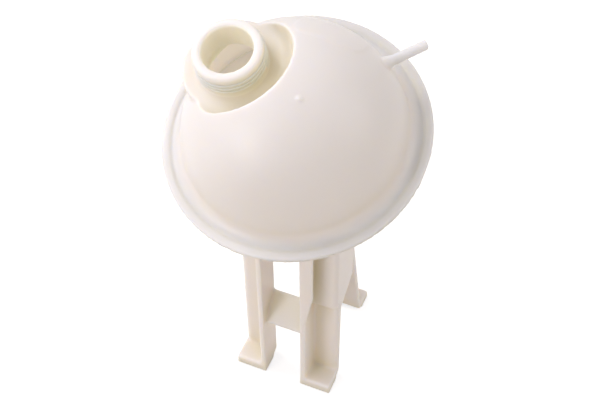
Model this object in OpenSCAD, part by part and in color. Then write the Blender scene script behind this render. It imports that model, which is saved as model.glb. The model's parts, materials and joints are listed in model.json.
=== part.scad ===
// Coolant expansion tank: two injection mouldings welded at the equator.
// The round tank leans forward over three legs that stand on the z = 0 plane.
// Millimetres, +Z up, -Y is the side that the two front toes point to.

/* [Tank] */
// height of the weld plane's centre above the feet
tank_z = 269.5; // [255:0.5:285]
// forward lean of the tank on its legs, degrees
tank_tilt = 21.2; // [18:0.2:24]
// outer radius of the dome and of the bowl
dome_r = 83.5; // [80:0.5:85]
// wall thickness of both shells
wall = 3; // [2.2:0.1:3.5]

/* [Weld flange] */
// outer radius of the flange
flange_r = 100; // [97:0.5:104]
// thickness of each half of the flange
flange_t = 2; // [1.5:0.1:3]
// width of the raised lip along the rim
lip_w = 6.4; // [4:0.1:9]
// height of the lip above the flange
lip_h = 0.8; // [0.4:0.1:1.4]
// radius of the wide fillet between shell and flange
flange_fillet = 9.5; // [5:0.1:10]
// edge rounding of the rim
rim_round = 0.9; // [0.4:0.1:1.2]

/* [Filler neck] */
// sideways place of the neck in the dome
neck_x = -41.6; // [-44:0.2:-38]
// place of the neck up the dome
neck_y = 10.7; // [6:0.1:14]
// bore radius
neck_bore_r = 18.2; // [15:0.1:20]
// outer radius over the thread
neck_r = 25; // [23.5:0.1:27]
// radius of the rim's lead-in
neck_lead_r = 23.7; // [22:0.1:24.5]
// length of the lead-in
neck_lead_h = 1.6; // [0.8:0.1:3]
// height of the neck above its seat
neck_h = 20.5; // [16:0.5:26]
// rounding of the rim's inner edge
neck_edge = 0.8; // [0.4:0.1:1.2]
// flare at the foot of the neck
neck_flare = 1.8; // [1:0.1:3]

/* [Neck seat] */
// height of the flat seat above the weld plane
seat_z = 59; // [56:0.2:62]
// radius of the flat seat
seat_r = 36.8; // [35:0.1:39]
// radius of the pocket at the height of the dome's top
pocket_r = 46.4; // [44:0.2:49]
// draft of the pocket's wall, degrees
pocket_draft = 12.4; // [6:0.2:20]
// radius of the fillet from the seat up the pocket's wall
pocket_fillet = 10; // [4:0.5:12]

/* [Vent spigot] */
// height above the weld plane
vent_z = 35.1; // [30:0.2:40]
// direction round the tank, degrees
vent_angle = 45.7; // [35:0.5:55]
// outer radius
vent_r = 3.8; // [3:0.1:5]
// bore radius
vent_bore_r = 2.3; // [1.5:0.1:2.7]
// distance of the tip from the tank's axis
vent_reach = 108.2; // [100:0.2:115]
// rounding of the tip
vent_round = 1.2; // [0.5:0.1:1.4]
// radius of the cone at the root
vent_root_r = 5.4; // [4.5:0.1:7]
// length of the cone outside the shell
vent_root_l = 6; // [3:0.1:8]

/* [Marks on the dome] */
// middle of the raised panel, sideways
panel_x = 15.7; // [10:0.1:20]
// middle of the raised panel, up the dome
panel_y = 52.5; // [48:0.1:56]
// length of the panel
panel_l = 49; // [40:0.5:54]
// width of the panel
panel_w = 22; // [16:0.5:26]
// corner radius of the panel
panel_corner = 8; // [4:0.1:10]
// height of the panel over the dome
panel_h = 0.7; // [0.4:0.1:1.2]
// sideways place of the gate pip
gate_x = 20.1; // [16:0.1:24]
// place of the gate pip up the dome
gate_y = -11; // [-15:0.1:-7]
// radius of the gate pip
gate_r = 1.9; // [1.2:0.1:3]
// height of the gate pip
gate_h = 1.1; // [0.6:0.1:2]

/* [Bottom outlet] */
// place of the hose spigot behind the middle of the tank
outlet_y = 20; // [14:0.5:26]
// outer radius of the hose spigot
outlet_r = 10; // [8:0.1:12]
// bore radius of the hose spigot
outlet_bore_r = 7.4; // [5.5:0.1:7.9]
// length below the bowl
outlet_l = 28; // [22:0.5:32]
// bevel round the tip of the hose spigot
outlet_lead = 1.2; // [0.5:0.1:2]
// radius of the cone at the root of the hose spigot
outlet_root_r = 12.5; // [11:0.1:15]
// length of that cone
outlet_root_l = 5; // [3:0.5:8]

/* [Front legs] */
// clear width between the two front feet
leg_gap = 31.8; // [28:0.2:36]
// width of a front foot
foot_w = 29.4; // [27:0.2:32]
// depth of a foot from heel to toe
foot_d = 25.5; // [23:0.1:28]
// front edge of the front feet
foot_front = -35.8; // [-40:0.2:-32]
// thickness of the foot plate at the toe
foot_t = 9.5; // [7:0.1:12]
// thickness of the legs' walls
leg_t = 5; // [3.5:0.1:6]
// how far the legs' walls stand inside the edge of the foot
leg_inset = 1; // [0.5:0.1:2]
// bevel on the outer front corner of the back wall
end_bevel = 3; // [1:0.1:4]

/* [Stiffening of the right front leg] */
// width of the lip along the front edge of the inner wall
lip_leg_w = 11; // [9:0.1:13]
// thickness of that lip
lip_leg_t = 4; // [3:0.1:5]
// height at which the lip ends
lip_leg_z = 92; // [85:0.5:100]
// height over which the lip tapers away
lip_taper = 33; // [20:0.5:40]
// depth of the upper part of the back wall in front of the lower one
step_d = 7.5; // [5:0.1:9]
// height of the step in the back wall
step_z = 106; // [100:0.5:115]
// height at which the web behind the leg starts
web_z = 96; // [90:0.5:104]
// reach of the web towards the rear leg
web_reach = 24; // [18:0.5:28]
// height that the web's lower edge climbs
web_rise = 18; // [12:0.5:26]
// thickness of the web
web_t = 4; // [3:0.1:5]

/* [Feet] */
// length of the sole, from the toe
sole_l = 18.5; // [16:0.1:21]
// thickness of the sole pad
sole_t = 2.4; // [1.5:0.1:3.5]
// how far the sole stands out beyond the foot plate
sole_out = 0.7; // [0.3:0.1:1.2]
// height of the heel above the floor
heel_z = 5.3; // [4:0.1:6.5]
// bevel along the toe's top edge
toe_bevel = 1.6; // [0.8:0.1:2.5]

/* [Sloped tie between the front legs] */
// height of the tie's lower front edge
tie_z = 70; // [64:0.5:78]
// height that the tie climbs to the back
tie_rise = 22; // [16:0.5:26]
// distance of the tie's front edge behind the toes
tie_front = 5; // [3:0.1:8]
// thickness of the tie
tie_t = 3; // [2:0.1:4]

/* [Rear leg] */
// outer edge of the rear foot
rear_x = 38.4; // [34:0.2:42]
// how far the rear foot's front edge stands inside the tank's outer radius
rear_in = 24.1; // [20:0.1:28]
// depth of the rear foot
rear_d = 21.8; // [19:0.1:25]
// thickness of the rear foot plate
rear_t = 8.6; // [7:0.1:10]
// outward lean of the rear leg, degrees
rear_lean = 6.3; // [4:0.1:9]
// depth of the rear leg where it meets the bowl
rear_top_d = 14; // [11:0.2:18]

/* [Hidden] */
$fn = 96;
eps = 0.01;
cove_steps = 5;
dome_in = dome_r - wall;
floor_z = seat_z - wall;
rear_y = dome_r - rear_in;
foot_in = leg_gap / 2;
foot_out = foot_in + foot_w;
foot_back = foot_front + foot_d;
wall_in = foot_in + leg_inset;
leg_top = tank_z - sqrt(dome_in * dome_in - foot_out * foot_out - foot_front * foot_front);
rear_top = tank_z - sqrt(dome_in * dome_in - pow(rear_y + rear_top_d, 2));
bowl_z = tank_z - sqrt(dome_r * dome_r - outlet_y * outlet_y);

// Places its children in the tank's own frame: weld plane at z = 0, axis up.
module in_tank() translate([0, 0, tank_z]) rotate([tank_tilt, 0, 0]) children();

// Upper shell, one moulding

// Flat rectangle with round corners, centred.
module round_rect(l, w, r) {
    square([l - 2 * r, w], center = true);
    square([l, w - 2 * r], center = true);
    for (x = [-1, 1], y = [-1, 1]) translate([x * (l / 2 - r), y * (w / 2 - r)]) circle(r);
}

// Half flange with its fillet up the shell; the lip is a step along the rim.
module flange_ring(lip) rotate_extrude() {
    reach = dome_r + flange_fillet;
    rise = flange_t + flange_fillet;
    foot_r = sqrt(reach * reach - rise * rise);
    skin = dome_r / reach;
    core = (dome_r - wall / 2) / reach;
    translate([dome_in + wall / 2, 0]) square([flange_r - rim_round - dome_in - wall / 2, flange_t]);
    translate([flange_r - lip_w, 0]) square([lip_w - rim_round, flange_t + lip]);
    translate([flange_r - lip_w, 0]) square([lip_w, flange_t + lip - rim_round]);
    translate([flange_r - rim_round, flange_t + lip - rim_round]) circle(rim_round);
    difference() {
        polygon([[dome_r - wall / 2, 0], [foot_r, 0], [foot_r, rise],
            [foot_r * skin, rise * skin], [foot_r * core, rise * core]]);
        translate([foot_r, rise]) circle(flange_fillet);
    }
}

// Half section of the pocket round the neck, grown by off: flat floor, coved corner, drafted wall.
module pocket_section(off) {
    top = 2 * dome_r;
    mid_z = seat_z + pocket_fillet;
    tan_z = mid_z - pocket_fillet * sin(pocket_draft);
    mid_r = pocket_r - (dome_r - tan_z) * tan(pocket_draft) - pocket_fillet * cos(pocket_draft);
    cove_r = pocket_fillet + off;
    wall_z = mid_z - cove_r * sin(pocket_draft);
    wall_r = mid_r + cove_r * cos(pocket_draft);
    turn = (90 - pocket_draft) / cove_steps;
    polygon(concat([[0, seat_z - off]],
        [for (i = [0:cove_steps]) [mid_r + cove_r * sin(i * turn), mid_z - cove_r * cos(i * turn)]],
        [[wall_r + (top - wall_z) * tan(pocket_draft), top], [0, top]]));
}

// Dome with the seat built out on one side and sunk into it on the other.
module dome_body() {
    difference() {
        union() {
            intersection() {
                sphere(dome_r);
                cylinder(r = flange_r, h = flange_r);
            }
            flange_ring(lip_h);
            translate([neck_x, neck_y, 0]) cylinder(r = seat_r, h = seat_z);
        }
        translate([neck_x, neck_y, 0]) rotate_extrude() pocket_section(0);
    }
    panel();
    gate();
}

// Raised panel: the part of a thin outer skin that lies inside the outline.
module panel() intersection() {
    difference() {
        sphere(dome_r + panel_h);
        sphere(dome_r - wall / 2);
    }
    translate([panel_x, panel_y, 0]) linear_extrude(dome_r) round_rect(panel_l, panel_w, panel_corner);
}

// Gate pip, as tall above the dome as its own height.
module gate() {
    top = sqrt(dome_r * dome_r - gate_x * gate_x - gate_y * gate_y);
    translate([gate_x, gate_y, top - wall / 2]) cylinder(r = gate_r, h = wall / 2 + gate_h, $fn = 32);
}

// Inside of the upper shell: round the boss under the seat, open to the weld.
module dome_hollow() {
    difference() {
        intersection() {
            sphere(dome_in);
            translate([0, 0, -eps]) cylinder(r = flange_r, h = flange_r);
        }
        translate([neck_x, neck_y, 0]) rotate_extrude() pocket_section(wall);
    }
    intersection() {
        translate([neck_x, neck_y, -eps]) cylinder(r = seat_r - wall, h = floor_z - wall);
        cylinder(r = flange_r, h = flange_r);
    }
}

// Outside of the filler neck, standing on the seat.
module neck_body() translate([neck_x, neck_y, floor_z]) {
    cylinder(r = neck_r, h = wall + neck_h - neck_lead_h);
    translate([0, 0, wall + neck_h - neck_lead_h]) cylinder(r1 = neck_r, r2 = neck_lead_r, h = neck_lead_h);
    translate([0, 0, wall]) cylinder(r1 = neck_r + neck_flare, r2 = neck_r, h = neck_flare);
}

// Bore of the neck with its eased rim; it stops on the crescent ledge of the dome.
module neck_bore() translate([neck_x, neck_y, floor_z]) {
    cylinder(r = neck_bore_r, h = 2 * wall + neck_h);
    translate([0, 0, wall + neck_h - neck_edge])
        cylinder(r1 = neck_bore_r, r2 = neck_bore_r + 2 * neck_edge, h = 2 * neck_edge);
}

// Vent spigot along its own axis, from the shell to the rounded tip.
module vent_body() rotate([0, 0, vent_angle]) translate([0, 0, vent_z]) rotate([0, 90, 0]) {
    skin = sqrt(dome_r * dome_r - vent_z * vent_z);
    translate([0, 0, skin - wall]) cylinder(r = vent_r, h = vent_reach - vent_round - skin + wall);
    translate([0, 0, vent_reach - vent_round]) rotate_extrude() {
        square([vent_r - vent_round, vent_round]);
        intersection() {
            translate([vent_r - vent_round, 0]) circle(vent_round, $fn = 32);
            square([vent_r, vent_round]);
        }
    }
    translate([0, 0, skin - wall]) cylinder(r = vent_root_r, h = wall);
    translate([0, 0, skin]) cylinder(r1 = vent_root_r, r2 = vent_r, h = vent_root_l);
}

// Hole through the spigot and the shell.
module vent_bore() rotate([0, 0, vent_angle]) translate([0, 0, vent_z]) rotate([0, 90, 0]) {
    skin = sqrt(dome_in * dome_in - vent_z * vent_z);
    translate([0, 0, skin - 4 * wall]) cylinder(r = vent_bore_r, h = vent_reach - skin + 5 * wall);
}

module upper_shell() color([0.93, 0.91, 0.85]) in_tank() difference() {
    union() {
        difference() {
            union() {
                dome_body();
                vent_body();
            }
            dome_hollow();
        }
        neck_body();
    }
    neck_bore();
    vent_bore();
}

// Lower shell: bowl, outlet and three legs in one moulding

// Bowl and its half of the flange, hanging under the weld plane.
module bowl_body() in_tank() mirror([0, 0, 1]) {
    intersection() {
        sphere(dome_r);
        cylinder(r = flange_r, h = flange_r);
    }
    flange_ring(0);
}

// Hose spigot straight down from near the bowl's lowest point.
module outlet_body() translate([0, outlet_y, bowl_z - outlet_l]) {
    cylinder(r1 = outlet_r - outlet_lead, r2 = outlet_r, h = outlet_lead);
    translate([0, 0, outlet_lead]) cylinder(r = outlet_r, h = dome_in / 2);
    translate([0, 0, outlet_l - outlet_root_l]) cylinder(r1 = outlet_r, r2 = outlet_root_r, h = outlet_root_l);
    translate([0, 0, outlet_l]) cylinder(r = outlet_root_r, h = dome_in / 4);
}

// Room inside the bowl, with the outlet's bore.
module bowl_hollow() {
    translate([0, 0, tank_z]) sphere(dome_in);
    translate([0, outlet_y, bowl_z - outlet_l - wall]) cylinder(r = outlet_bore_r, h = outlet_l + dome_in / 2);
}

// Side outline of a foot: sole at the toe, step up to the raised heel.
module foot_side(depth, thick) polygon([
    [0, 0], [sole_l * depth / foot_d, 0], [sole_l * depth / foot_d, sole_t], [depth, heel_z],
    [depth, thick], [toe_bevel, thick], [0, thick - toe_bevel]]);

// Foot from heel to toe along +Y, its inner edge on x = 0.
module foot(depth, thick) {
    translate([sole_out, 0, 0]) rotate([90, 0, 90]) linear_extrude(foot_w - 2 * sole_out) foot_side(depth, thick);
    cube([foot_w, sole_l * depth / foot_d, sole_t]);
}

// Plan of the back wall of a front leg, bevelled at its outer front corner.
module back_wall_plan(depth) translate([wall_in, foot_back - depth]) polygon([
    [0, 0], [foot_out - wall_in - sole_out - end_bevel, 0], [foot_out - wall_in - sole_out, end_bevel],
    [foot_out - wall_in - sole_out, depth], [0, depth]]);

// Front leg on the +X side: foot, inner wall and back wall.
module front_leg() {
    translate([foot_in, foot_front, 0]) foot(foot_d, foot_t);
    translate([wall_in, foot_front + sole_out, heel_z]) cube([leg_t, foot_d - sole_out, leg_top - heel_z]);
    translate([0, 0, heel_z]) linear_extrude(leg_top - heel_z) back_wall_plan(leg_t);
}

// On the right leg only: thicker upper back wall, tapering front lip, web to the rear.
module leg_stiffening() {
    translate([0, 0, step_z]) linear_extrude(leg_top - step_z) back_wall_plan(leg_t + step_d);
    translate([wall_in, foot_front + sole_out + lip_leg_t, 0]) rotate([90, 0, 0]) linear_extrude(lip_leg_t)
        polygon([[0, lip_leg_z], [leg_t, lip_leg_z], [lip_leg_w, lip_leg_z + lip_taper], [lip_leg_w, leg_top], [0, leg_top]]);
    translate([foot_out - sole_out - web_t, foot_back - eps, 0]) rotate([90, 0, 90]) linear_extrude(web_t)
        polygon([[0, web_z], [web_reach, web_z + web_rise], [web_reach, leg_top], [0, leg_top]]);
}

// Sloped tie plate between the two inner walls.
module tie() translate([-wall_in - eps, foot_front + tie_front, 0]) rotate([90, 0, 90]) linear_extrude(2 * (wall_in + eps))
    polygon([[0, tie_z], [foot_d - tie_front, tie_z + tie_rise], [foot_d - tie_front, tie_z + tie_rise - tie_t], [0, tie_z - tie_t]]);

// Outline of the rear leg seen from the front, leaning in towards the bowl.
module rear_outline(width) {
    in_x = (rear_top - heel_z) * tan(rear_lean);
    polygon([[0, heel_z], [width, heel_z], [width - in_x, rear_top], [-in_x, rear_top]]);
}

// Rear leg: foot with its toe to the back, front wall and inner wall.
module rear_leg() {
    translate([rear_x, rear_y + rear_d, 0]) rotate([0, 0, 180]) foot(rear_d, rear_t);
    translate([rear_x - foot_w + leg_inset, rear_y, 0]) intersection() {
        union() {
            translate([0, leg_t, 0]) rotate([90, 0, 0]) linear_extrude(leg_t) rear_outline(foot_w - 2 * leg_inset);
            translate([0, rear_d - sole_out, 0]) rotate([90, 0, 0]) linear_extrude(rear_d - sole_out) rear_outline(leg_t);
        }
        translate([-foot_w * 2, 0, 0]) rotate([90, 0, 90]) linear_extrude(foot_w * 4)
            polygon([[0, 0], [rear_d, 0], [rear_d, heel_z], [rear_top_d, rear_top], [0, rear_top]]);
    }
}

module lower_shell() color([0.86, 0.84, 0.77]) difference() {
    union() {
        bowl_body();
        outlet_body();
        front_leg();
        mirror([1, 0, 0]) front_leg();
        leg_stiffening();
        tie();
        rear_leg();
    }
    bowl_hollow();
}

upper_shell();
lower_shell();
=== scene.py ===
import bpy
import bmesh
import json
import math
from mathutils import Matrix, Vector


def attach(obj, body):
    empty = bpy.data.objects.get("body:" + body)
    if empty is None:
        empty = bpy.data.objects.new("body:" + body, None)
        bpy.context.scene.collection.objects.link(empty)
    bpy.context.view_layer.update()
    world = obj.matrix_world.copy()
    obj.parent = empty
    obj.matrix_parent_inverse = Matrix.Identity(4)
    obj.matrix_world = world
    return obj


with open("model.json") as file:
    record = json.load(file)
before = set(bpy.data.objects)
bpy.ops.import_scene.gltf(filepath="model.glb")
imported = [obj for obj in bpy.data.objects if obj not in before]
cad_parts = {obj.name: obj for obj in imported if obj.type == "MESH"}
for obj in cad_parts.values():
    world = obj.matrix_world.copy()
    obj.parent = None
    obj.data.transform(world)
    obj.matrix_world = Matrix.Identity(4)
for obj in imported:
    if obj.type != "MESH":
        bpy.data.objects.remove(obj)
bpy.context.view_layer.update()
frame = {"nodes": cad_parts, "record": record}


# Camera
# The photograph was taken from the front right and well above the tank,
# with a lens of about 60 mm on a full frame.

camera = bpy.data.objects.new("camera", bpy.data.cameras.new("camera"))
bpy.context.scene.collection.objects.link(camera)
camera.data.sensor_fit = "HORIZONTAL"
camera.data.sensor_width = 36.0
camera.data.lens = 60.0
camera.data.clip_start = 0.05
camera.data.clip_end = 20.0
camera_place = Vector((0.2143, -0.4901, 0.7654))
camera_right = Vector((0.9207, 0.3903, -0.0056)).normalized()
camera_back = Vector((0.2716, -0.6301, 0.7275)).normalized()
camera_up = camera_back.cross(camera_right).normalized()
camera_right = camera_up.cross(camera_back)
camera.matrix_world = Matrix((
    (camera_right.x, camera_up.x, camera_back.x, camera_place.x),
    (camera_right.y, camera_up.y, camera_back.y, camera_place.y),
    (camera_right.z, camera_up.z, camera_back.z, camera_place.z),
    (0.0, 0.0, 0.0, 1.0)))
bpy.context.scene.camera = camera


# Milky plastic of the two shells
# Natural polypropylene, injection moulded and not painted: milky and translucent,
# near white in the open, with a soft sheen, faint flow clouds and fine handling marks.
# Its tan in corners and hollows is painted shade, and the light through the wall inside is a painted
# glow.

def moulded_surface_group():
    """Colour, roughness and height of a moulded natural plastic.

    Open is 1 on a free face and falls towards 0 in a corner or a hollow; as it falls, the colour goes
    tan: painted shade."""
    group = bpy.data.node_groups.new("moulded_surface", "ShaderNodeTree")
    face = group.interface
    for name, kind, value in (
            ("Pale", "NodeSocketColor", (0.85, 0.81, 0.75, 1.0)),
            ("Painted shade", "NodeSocketColor", (0.76, 0.70, 0.60, 1.0)),
            ("Open", "NodeSocketFloat", 1.0),
            ("Gloss", "NodeSocketFloat", 0.32),
            ("Grain", "NodeSocketFloat", 0.35)):
        socket = face.new_socket(name, in_out="INPUT", socket_type=kind)
        socket.default_value = value
    for name, kind in (("Colour", "NodeSocketColor"), ("Roughness", "NodeSocketFloat"),
                       ("Height", "NodeSocketFloat")):
        face.new_socket(name, in_out="OUTPUT", socket_type=kind)
    nodes, links = group.nodes, group.links
    way_in = nodes.new("NodeGroupInput")
    way_out = nodes.new("NodeGroupOutput")
    place = nodes.new("ShaderNodeTexCoord")

    clouds = nodes.new("ShaderNodeTexNoise")
    clouds.inputs["Scale"].default_value = 16.0
    clouds.inputs["Detail"].default_value = 3.0
    links.new(place.outputs["Object"], clouds.inputs["Vector"])
    drift = nodes.new("ShaderNodeMath")
    drift.operation = "MULTIPLY_ADD"
    drift.inputs[1].default_value = 0.16
    links.new(clouds.outputs["Fac"], drift.inputs[0])
    links.new(way_in.outputs["Open"], drift.inputs[2])
    free = nodes.new("ShaderNodeMapRange")
    free.inputs["From Min"].default_value = 0.30
    free.inputs["From Max"].default_value = 1.0
    links.new(drift.outputs["Value"], free.inputs["Value"])
    # Painted shade: where Open falls, in corners and hollows, the colour is mixed from Pale towards a
    # tan shade colour.
    tint = nodes.new("ShaderNodeMix")
    tint.data_type = "RGBA"
    links.new(free.outputs["Result"], tint.inputs["Factor"])
    links.new(way_in.outputs["Painted shade"], tint.inputs["A"])
    links.new(way_in.outputs["Pale"], tint.inputs["B"])
    links.new(tint.outputs["Result"], way_out.inputs["Colour"])

    smudges = nodes.new("ShaderNodeTexNoise")
    smudges.inputs["Scale"].default_value = 55.0
    smudges.inputs["Detail"].default_value = 5.0
    smudges.inputs["Roughness"].default_value = 0.6
    links.new(place.outputs["Object"], smudges.inputs["Vector"])
    wander = nodes.new("ShaderNodeMath")
    wander.operation = "MULTIPLY_ADD"
    wander.inputs[1].default_value = 0.16
    links.new(smudges.outputs["Fac"], wander.inputs[0])
    links.new(way_in.outputs["Gloss"], wander.inputs[2])
    links.new(wander.outputs["Value"], way_out.inputs["Roughness"])

    grain = nodes.new("ShaderNodeTexNoise")
    grain.inputs["Scale"].default_value = 1400.0
    grain.inputs["Detail"].default_value = 2.0
    links.new(place.outputs["Object"], grain.inputs["Vector"])
    fine = nodes.new("ShaderNodeMath")
    fine.operation = "MULTIPLY"
    links.new(grain.outputs["Fac"], fine.inputs[0])
    links.new(way_in.outputs["Grain"], fine.inputs[1])
    waves = nodes.new("ShaderNodeTexNoise")
    waves.inputs["Scale"].default_value = 38.0
    waves.inputs["Detail"].default_value = 1.0
    links.new(place.outputs["Object"], waves.inputs["Vector"])
    both = nodes.new("ShaderNodeMath")
    both.operation = "ADD"
    links.new(fine.outputs["Value"], both.inputs[0])
    links.new(waves.outputs["Fac"], both.inputs[1])
    links.new(both.outputs["Value"], way_out.inputs["Height"])
    return group


def mount_named(name):
    """A mount of the part's record."""
    return [row for row in frame["record"]["mounts"] if row["name"] == name][0]


moulded_surface = moulded_surface_group()
tank_middle = (0.0, 0.0, 0.2695)
neck_mount = mount_named("neck_outside")
neck_turn = Vector((0.0, 0.0, 1.0)).rotation_difference(Vector(neck_mount["axis"]))
vent_mount = mount_named("vent_spigot")


def worked(nodes, links, operation, first, second):
    """One Math node; each input is a socket or a number."""
    step = nodes.new("ShaderNodeMath")
    step.operation = operation
    for socket, value in zip(step.inputs, (first, second)):
        if isinstance(value, bpy.types.NodeSocket):
            links.new(value, socket)
        else:
            socket.default_value = value
    return step.outputs["Value"]


def distance(nodes, links, place, point):
    """How far the shaded spot lies from a point of the part."""
    reach = nodes.new("ShaderNodeVectorMath")
    reach.operation = "DISTANCE"
    links.new(place.outputs["Object"], reach.inputs[0])
    reach.inputs[1].default_value = point
    return reach.outputs["Value"]


def tinted(nodes, links, base, colour, mask):
    """A colour laid over another, which is a socket or a colour, where the mask is 1."""
    mix = nodes.new("ShaderNodeMix")
    mix.data_type = "RGBA"
    if isinstance(base, bpy.types.NodeSocket):
        links.new(base, mix.inputs["A"])
    else:
        mix.inputs["A"].default_value = base
    mix.inputs["B"].default_value = colour
    links.new(mask, mix.inputs["Factor"])
    return mix.outputs["Result"]


def painted_through_glow(nodes, links, skin_r, vent_start, vent_reach, pocket_r, neck_r, bore_r,
                  seat_drop, bore_drop, room, neck, bore, vent):
    """Painted glow: an emission colour that stands in for the light that comes through the wall into
    the tank and along its thin tubes.

    skin_r and vent_start are distances from the tank's middle: where the room inside ends
    and where the vent's tube glows in full. vent_reach is a distance from the vent's mount.
    The other radii are round the neck's axis, and the drops are heights along it from the
    neck's mount, down to the seat and to under the ledge. Each colour is one zone's glow."""
    place = nodes.new("ShaderNodeTexCoord")
    seat = nodes.new("ShaderNodeMapping")
    seat.vector_type = "TEXTURE"
    seat.inputs["Location"].default_value = neck_mount["pos_m"]
    seat.inputs["Rotation"].default_value = neck_turn.to_euler()
    links.new(place.outputs["Object"], seat.inputs["Vector"])
    parts = nodes.new("ShaderNodeSeparateXYZ")
    links.new(seat.outputs["Vector"], parts.inputs["Vector"])
    across = worked(nodes, links, "MULTIPLY", parts.outputs["X"], parts.outputs["X"])
    along = worked(nodes, links, "MULTIPLY", parts.outputs["Y"], parts.outputs["Y"])
    radius = worked(nodes, links, "SQRT", worked(nodes, links, "ADD", across, along), 0.0)
    over_seat = worked(nodes, links, "GREATER_THAN", parts.outputs["Z"], seat_drop)
    in_pocket = worked(nodes, links, "LESS_THAN", radius, pocket_r)
    outside = worked(nodes, links, "MULTIPLY", over_seat, in_pocket)
    reach = distance(nodes, links, place, tank_middle)
    under_skin = worked(nodes, links, "LESS_THAN", reach, skin_r)
    room_only = worked(nodes, links, "SUBTRACT", under_skin, outside)
    in_room = worked(nodes, links, "GREATER_THAN", room_only, 0.5)
    from_vent = distance(nodes, links, place, vent_mount["pos_m"])
    near_vent = worked(nodes, links, "LESS_THAN", from_vent, vent_reach)
    thin = nodes.new("ShaderNodeMapRange")
    thin.inputs["From Min"].default_value = skin_r
    thin.inputs["From Max"].default_value = vent_start
    links.new(reach, thin.inputs["Value"])
    in_vent = worked(nodes, links, "MULTIPLY", near_vent, thin.outputs["Result"])
    glow = tinted(nodes, links, (0.0, 0.0, 0.0, 1.0), vent, in_vent)
    glow = tinted(nodes, links, glow, room, in_room)
    near_neck = worked(nodes, links, "LESS_THAN", radius, neck_r)
    in_neck = worked(nodes, links, "MULTIPLY", over_seat, near_neck)
    glow = tinted(nodes, links, glow, neck, in_neck)
    over_ledge = worked(nodes, links, "GREATER_THAN", parts.outputs["Z"], bore_drop)
    near_axis = worked(nodes, links, "LESS_THAN", radius, bore_r)
    in_bore = worked(nodes, links, "MULTIPLY", over_ledge, near_axis)
    return tinted(nodes, links, glow, bore, in_bore)


def milky_plastic(name, pale, painted_shade, gloss, grain):
    """Natural polypropylene with its own tint and finish, painted shade in its hollows and a painted
    glow inside.
    """
    material = bpy.data.materials.new(name)
    material.use_nodes = True
    nodes, links = material.node_tree.nodes, material.node_tree.links
    nodes.clear()
    out = nodes.new("ShaderNodeOutputMaterial")
    shader = nodes.new("ShaderNodeBsdfPrincipled")
    surface = nodes.new("ShaderNodeGroup")
    surface.node_tree = moulded_surface
    surface.inputs["Pale"].default_value = pale
    surface.inputs["Painted shade"].default_value = painted_shade
    surface.inputs["Gloss"].default_value = gloss
    surface.inputs["Grain"].default_value = grain
    # Painted shade: ambient occlusion tells how open each spot is, and so how tan it is painted.
    sky = nodes.new("ShaderNodeAmbientOcclusion")
    sky.samples = 8
    sky.inputs["Distance"].default_value = 0.035
    links.new(sky.outputs["AO"], surface.inputs["Open"])
    bump = nodes.new("ShaderNodeBump")
    bump.inputs["Strength"].default_value = 0.25
    bump.inputs["Distance"].default_value = 0.0002
    links.new(surface.outputs["Colour"], shader.inputs["Base Color"])
    links.new(surface.outputs["Roughness"], shader.inputs["Roughness"])
    links.new(surface.outputs["Height"], bump.inputs["Height"])
    links.new(bump.outputs["Normal"], shader.inputs["Normal"])
    # Painted light: the inside of the tank, the neck, its bore and the vent glow by emission, in
    # place of the light that comes through the wall.
    glow = painted_through_glow(
        nodes, links,
        skin_r=0.082, vent_start=0.096, vent_reach=0.027,
        pocket_r=0.045, neck_r=0.0262, bore_r=0.0190, seat_drop=-0.0118, bore_drop=-0.045,
        room=(0.135, 0.129, 0.105, 1.0), neck=(0.045, 0.052, 0.045, 1.0),
        bore=(0.095, 0.100, 0.052, 1.0), vent=(0.07, 0.07, 0.08, 1.0))
    links.new(glow, shader.inputs["Emission Color"])
    shader.inputs["Emission Strength"].default_value = 1.0
    shader.inputs["Subsurface Weight"].default_value = 1.0
    shader.inputs["Subsurface Radius"].default_value = (1.0, 0.9, 0.7)
    shader.inputs["Subsurface Scale"].default_value = 0.006
    shader.inputs["IOR"].default_value = 1.49
    links.new(shader.outputs["BSDF"], out.inputs["Surface"])
    return material


# The second colour is painted shade, the tan laid in corners and hollows.
shell_plastic = milky_plastic(
    "milky_polypropylene", pale=(0.85, 0.80, 0.80, 1.0), painted_shade=(0.76, 0.70, 0.52, 1.0),
    gloss=0.32, grain=0.35)


# Upper shell
# One injection moulding: dome, filler neck on its seat, vent spigot, panel and
# half the weld flange. Moulded edges are never sharp, so they are eased here.

def eased_moulding(node, voxel, rounds):
    """Gives a moulding the small round edges that come out of the mould.

    The last step keeps the piece under 200,000 triangles."""
    shell = frame["nodes"][node]
    weld = shell.modifiers.new("weld", "WELD")
    weld.merge_threshold = 0.00002
    skin = shell.modifiers.new("skin", "REMESH")
    skin.mode = "VOXEL"
    skin.voxel_size = voxel
    skin.use_smooth_shade = True
    ease = shell.modifiers.new("ease", "SMOOTH")
    ease.factor = 0.5
    ease.iterations = rounds
    thin = shell.modifiers.new("thin", "DECIMATE")
    thin.ratio = 0.72
    for slot in shell.material_slots:
        slot.material = shell_plastic


eased_moulding("upper_shell", voxel=0.0011, rounds=4)


# Neck thread
# The screw cap's thread, moulded on the outside of the filler neck: a low round
# ridge that winds up the neck and runs out into its wall at both ends.

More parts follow.
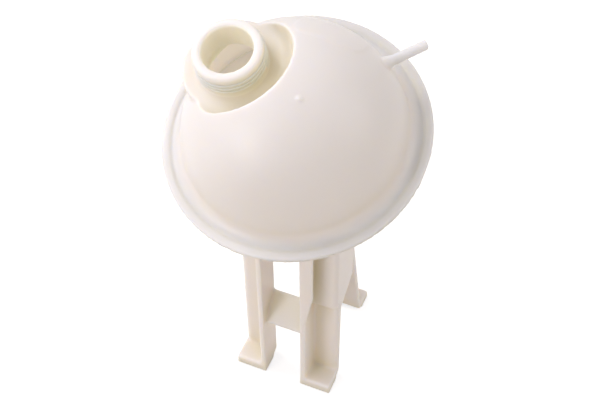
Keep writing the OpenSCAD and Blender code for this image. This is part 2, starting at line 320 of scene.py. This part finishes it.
def thread_ridge(name, mount, pitch, turns, height, width):
    """A ridge wound round the pin that a mount of the record gives.

    Height and width are those of the ridge's section, and both of its ends sink into the wall."""
    steps_per_turn = 48
    steps = round(steps_per_turn * turns)
    radius = mount["dims"]["r_mm"] / 1000.0
    form = bmesh.new()
    sunk = radius - height
    profile = [form.verts.new(point) for point in (
        (sunk, 0.0, -width / 2), (radius + height * 0.7, 0.0, -width / 5),
        (radius + height, 0.0, 0.0), (radius + height * 0.7, 0.0, width / 5), (sunk, 0.0, width / 2))]
    edges = [form.edges.new((a, b)) for a, b in zip(profile, profile[1:] + profile[:1])]
    wound = bmesh.ops.spin(
        form, geom=profile + edges, cent=(0.0, 0.0, 0.0), axis=(0.0, 0.0, 1.0),
        dvec=(0.0, 0.0, pitch / steps_per_turn), angle=math.tau * turns, steps=steps,
        use_merge=False, use_normal_flip=False, use_duplicate=False)
    last = [part for part in wound["geom_last"] if isinstance(part, bmesh.types.BMVert)]
    for ring in (profile, last):
        for vert in ring:
            outward = math.hypot(vert.co.x, vert.co.y)
            vert.co.x *= sunk / outward
            vert.co.y *= sunk / outward
    bmesh.ops.holes_fill(form, edges=form.edges, sides=len(profile))
    bmesh.ops.translate(form, verts=form.verts, vec=(0.0, 0.0, -pitch * turns / 2))
    bmesh.ops.recalc_face_normals(form, faces=form.faces)
    stand = Matrix.Translation(mount["pos_m"]) @ neck_turn.to_matrix().to_4x4()
    bmesh.ops.transform(form, matrix=stand, verts=form.verts)
    mesh = bpy.data.meshes.new(name)
    form.to_mesh(mesh)
    form.free()
    mesh.polygons.foreach_set("use_smooth", [True] * len(mesh.polygons))
    ridge = bpy.data.objects.new(name, mesh)
    bpy.context.scene.collection.objects.link(ridge)
    mesh.materials.append(shell_plastic)
    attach(ridge, "root")


thread_ridge("neck_thread", neck_mount, pitch=0.004, turns=3.25, height=0.0009, width=0.0024)


# Lower shell
# One injection moulding: bowl with the outlet spigot, the other half of the
# flange and the three legs, of the same plastic as the upper shell.

eased_moulding("lower_shell", voxel=0.0013, rounds=3)


# Floor and light
# The tank was photographed on white, in soft light from above and the left. The
# floor is a pale warm sheet that throws its tone on the legs; the camera sees it white.

floor_mesh = bpy.data.meshes.new("floor")
floor_form = bmesh.new()
bmesh.ops.create_grid(floor_form, x_segments=2, y_segments=2, size=4.0)
bmesh.ops.translate(floor_form, verts=floor_form.verts, vec=(0.0, 0.0, -0.0003))
floor_form.to_mesh(floor_mesh)
floor_form.free()
floor = bpy.data.objects.new("floor", floor_mesh)
bpy.context.scene.collection.objects.link(floor)

white_floor = bpy.data.materials.new("white_floor")
white_floor.use_nodes = True
nodes, links = white_floor.node_tree.nodes, white_floor.node_tree.links
nodes["Principled BSDF"].inputs["Base Color"].default_value = (0.62, 0.57, 0.48, 1.0)
nodes["Principled BSDF"].inputs["Roughness"].default_value = 0.9
nodes["Principled BSDF"].inputs["Emission Color"].default_value = (0.95, 1.0, 1.1, 1.0)


def seen_rays(nodes, links):
    """1 for the rays that show the background: camera, glossy and transmission."""
    path = nodes.new("ShaderNodeLightPath")
    pair = nodes.new("ShaderNodeMath")
    pair.operation = "ADD"
    links.new(path.outputs["Is Camera Ray"], pair.inputs[0])
    links.new(path.outputs["Is Glossy Ray"], pair.inputs[1])
    seen = nodes.new("ShaderNodeMath")
    seen.operation = "ADD"
    seen.use_clamp = True
    links.new(pair.outputs["Value"], seen.inputs[0])
    links.new(path.outputs["Is Transmission Ray"], seen.inputs[1])
    return seen.outputs["Value"]


lift = nodes.new("ShaderNodeMath")
lift.operation = "MULTIPLY"
lift.inputs[1].default_value = 0.65
links.new(seen_rays(nodes, links), lift.inputs[0])
links.new(lift.outputs["Value"], nodes["Principled BSDF"].inputs["Emission Strength"])
floor_mesh.materials.append(white_floor)

world = bpy.data.worlds.new("studio")
bpy.context.scene.world = world
world.use_nodes = True
nodes, links = world.node_tree.nodes, world.node_tree.links
sky_light = nodes["Background"]
sky_light.inputs["Color"].default_value = (1.0, 0.965, 0.92, 1.0)
sky_light.inputs["Strength"].default_value = 0.52
backdrop = nodes.new("ShaderNodeBackground")
backdrop.inputs["Color"].default_value = (1.0, 1.0, 1.0, 1.0)
either = nodes.new("ShaderNodeMixShader")
links.new(seen_rays(nodes, links), either.inputs["Fac"])
links.new(sky_light.outputs["Background"], either.inputs[1])
links.new(backdrop.outputs["Background"], either.inputs[2])
links.new(either.outputs["Shader"], nodes["World Output"].inputs["Surface"])


def softbox(name, place, target, size, watts, colour):
    """A square lamp turned to the tank."""
    lamp = bpy.data.objects.new(name, bpy.data.lights.new(name, "AREA"))
    bpy.context.scene.collection.objects.link(lamp)
    lamp.data.shape = "SQUARE"
    lamp.data.size = size
    lamp.data.energy = watts
    lamp.data.color = colour
    lamp.location = place
    lamp.rotation_euler = (Vector(target) - Vector(place)).to_track_quat("-Z", "Y").to_euler()


softbox("key", (-0.95, 0.05, 1.35), (0.0, 0.0, 0.25), 0.8, 10.5, (0.99, 0.97, 1.0))
softbox("sheen", (-0.8, -1.45, 0.9), (0.0, 0.0, 0.3), 0.6, 8.0, (1.0, 0.98, 1.0))
softbox("side", (1.3, 0.2, 1.0), (0.0, 0.0, 0.25), 0.9, 4.0, (1.0, 0.98, 0.99))

scene = bpy.context.scene
scene.view_settings.view_transform = "Standard"
